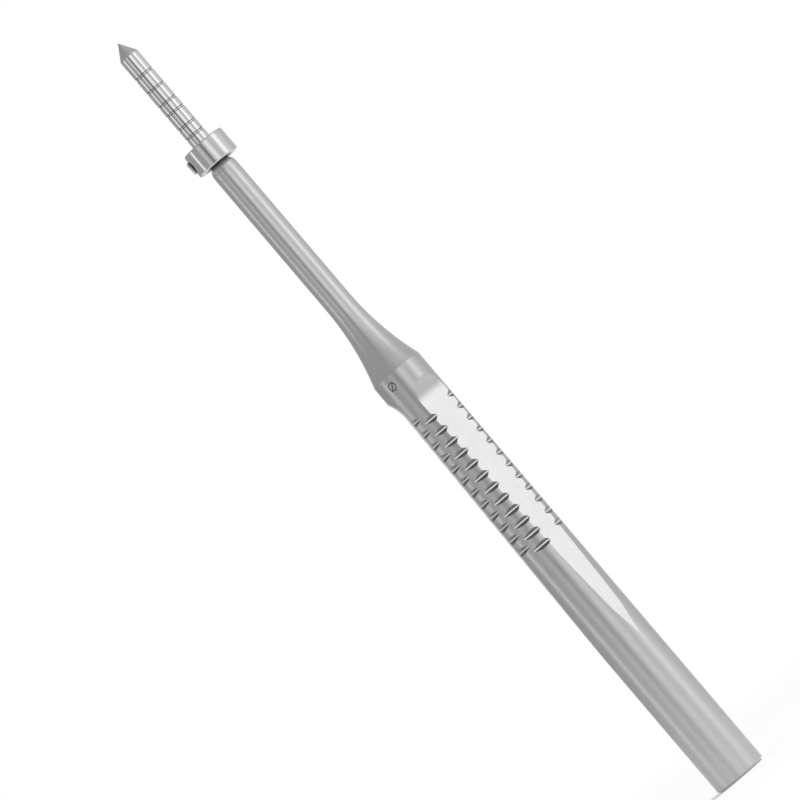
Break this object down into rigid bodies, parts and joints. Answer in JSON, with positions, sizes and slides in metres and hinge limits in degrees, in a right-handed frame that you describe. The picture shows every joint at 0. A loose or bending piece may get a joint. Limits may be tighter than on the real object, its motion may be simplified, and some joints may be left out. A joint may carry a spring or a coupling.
{
  "type": "bone chisel",
  "caption": "Straight round bone chisel: a pointed rod with depth rings and a sliding clamped stop, a flared shank, and a long handle with tapering flats and rows of grip notches.",
  "frame": {"origin": "the middle of the striking face, on which the tool stands", "axes": "+Z along the tool towards its point, -X to the side that the stop's set screw stands out on"},
  "size_m": [0.0098, 0.0098, 0.165],
  "materials": {
    "chisel": "satin, with a polished rod",
    "depth_stop": "fine turned",
    "stop_screw": "machined"
  },
  "bodies": {
    "chisel": {"chisel": "chisel"},
    "stop": {"depth_stop": "depth_stop"},
    "screw": {"stop_screw": "stop_screw"}
  },
  "joints": [
    {"name": "stop_slide", "type": "slide", "parent": "chisel", "child": "stop", "axis": [0, 0, 1], "range_m": [-0.0003, 0.0154]},
    {"name": "screw_turn", "type": "hinge", "parent": "stop", "child": "screw", "pos_m": [0, 0, 0.1403], "axis": [-1, 0, 0], "range_deg": [0, 720]}
  ]
}
